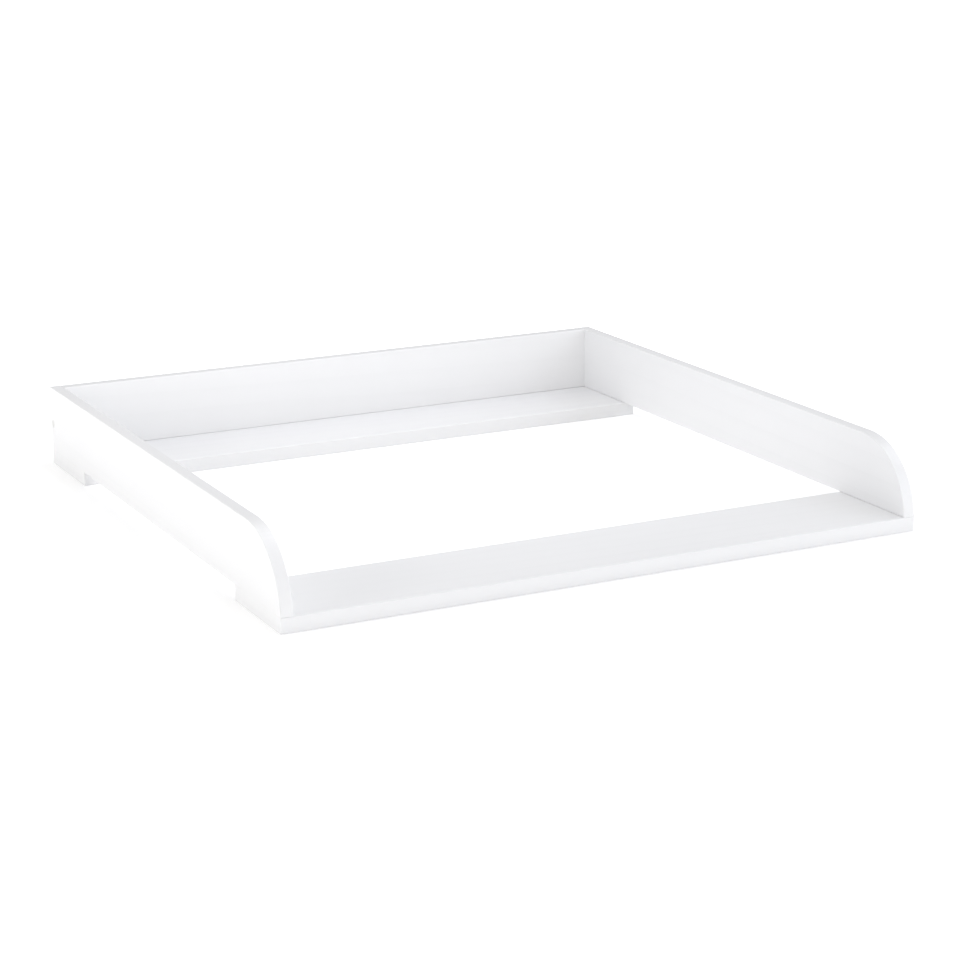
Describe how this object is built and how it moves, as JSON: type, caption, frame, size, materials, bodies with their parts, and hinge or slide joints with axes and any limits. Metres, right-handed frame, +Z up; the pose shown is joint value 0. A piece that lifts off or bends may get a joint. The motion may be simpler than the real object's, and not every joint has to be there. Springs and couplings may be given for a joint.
{
  "type": "changing top",
  "caption": "White lacquered wooden changing top for a chest of drawers: front and rear base slats, side panels with rounded fronts and a back panel, open in the middle.",
  "frame": {"origin": "middle of the underside, halfway along the width and the depth, at the height of the surface it stands on", "axes": "+X to the right end, +Y to the back panel, +Z up"},
  "size_m": [0.8, 0.78, 0.102],
  "materials": {
    "white_lacquered_wood": "white lacquer, satin, on solid board",
    "zinc_screw": "bright zinc",
    "white_cap_plastic": "white moulded plastic",
    "beech_dowel": "bare beech"
  },
  "bodies": {
    "root": {"front_slat": "white_lacquered_wood", "rear_slat": "white_lacquered_wood", "left_side_panel": "white_lacquered_wood", "right_side_panel": "white_lacquered_wood", "back_panel": "white_lacquered_wood", "front_left_slat_screw_outer": "zinc_screw", "front_left_slat_screw_inner": "zinc_screw", "rear_left_slat_screw_outer": "zinc_screw", "rear_left_slat_screw_inner": "zinc_screw", "front_right_slat_screw_outer": "zinc_screw", "front_right_slat_screw_inner": "zinc_screw", "rear_right_slat_screw_outer": "zinc_screw", "rear_right_slat_screw_inner": "zinc_screw", "back_panel_screw_left": "zinc_screw", "back_panel_screw_middle": "zinc_screw", "back_panel_screw_right": "zinc_screw", "left_connecting_screw": "zinc_screw", "right_connecting_screw": "zinc_screw", "left_cover_cap": "white_cap_plastic", "right_cover_cap": "white_cap_plastic", "front_left_slat_dowel": "beech_dowel", "rear_left_slat_dowel": "beech_dowel", "front_right_slat_dowel": "beech_dowel", "rear_right_slat_dowel": "beech_dowel", "back_panel_dowel_left": "beech_dowel", "back_panel_dowel_right": "beech_dowel", "left_corner_dowel_lower": "beech_dowel", "left_corner_dowel_upper": "beech_dowel", "right_corner_dowel_lower": "beech_dowel", "right_corner_dowel_upper": "beech_dowel"}
  },
  "joints": []
}
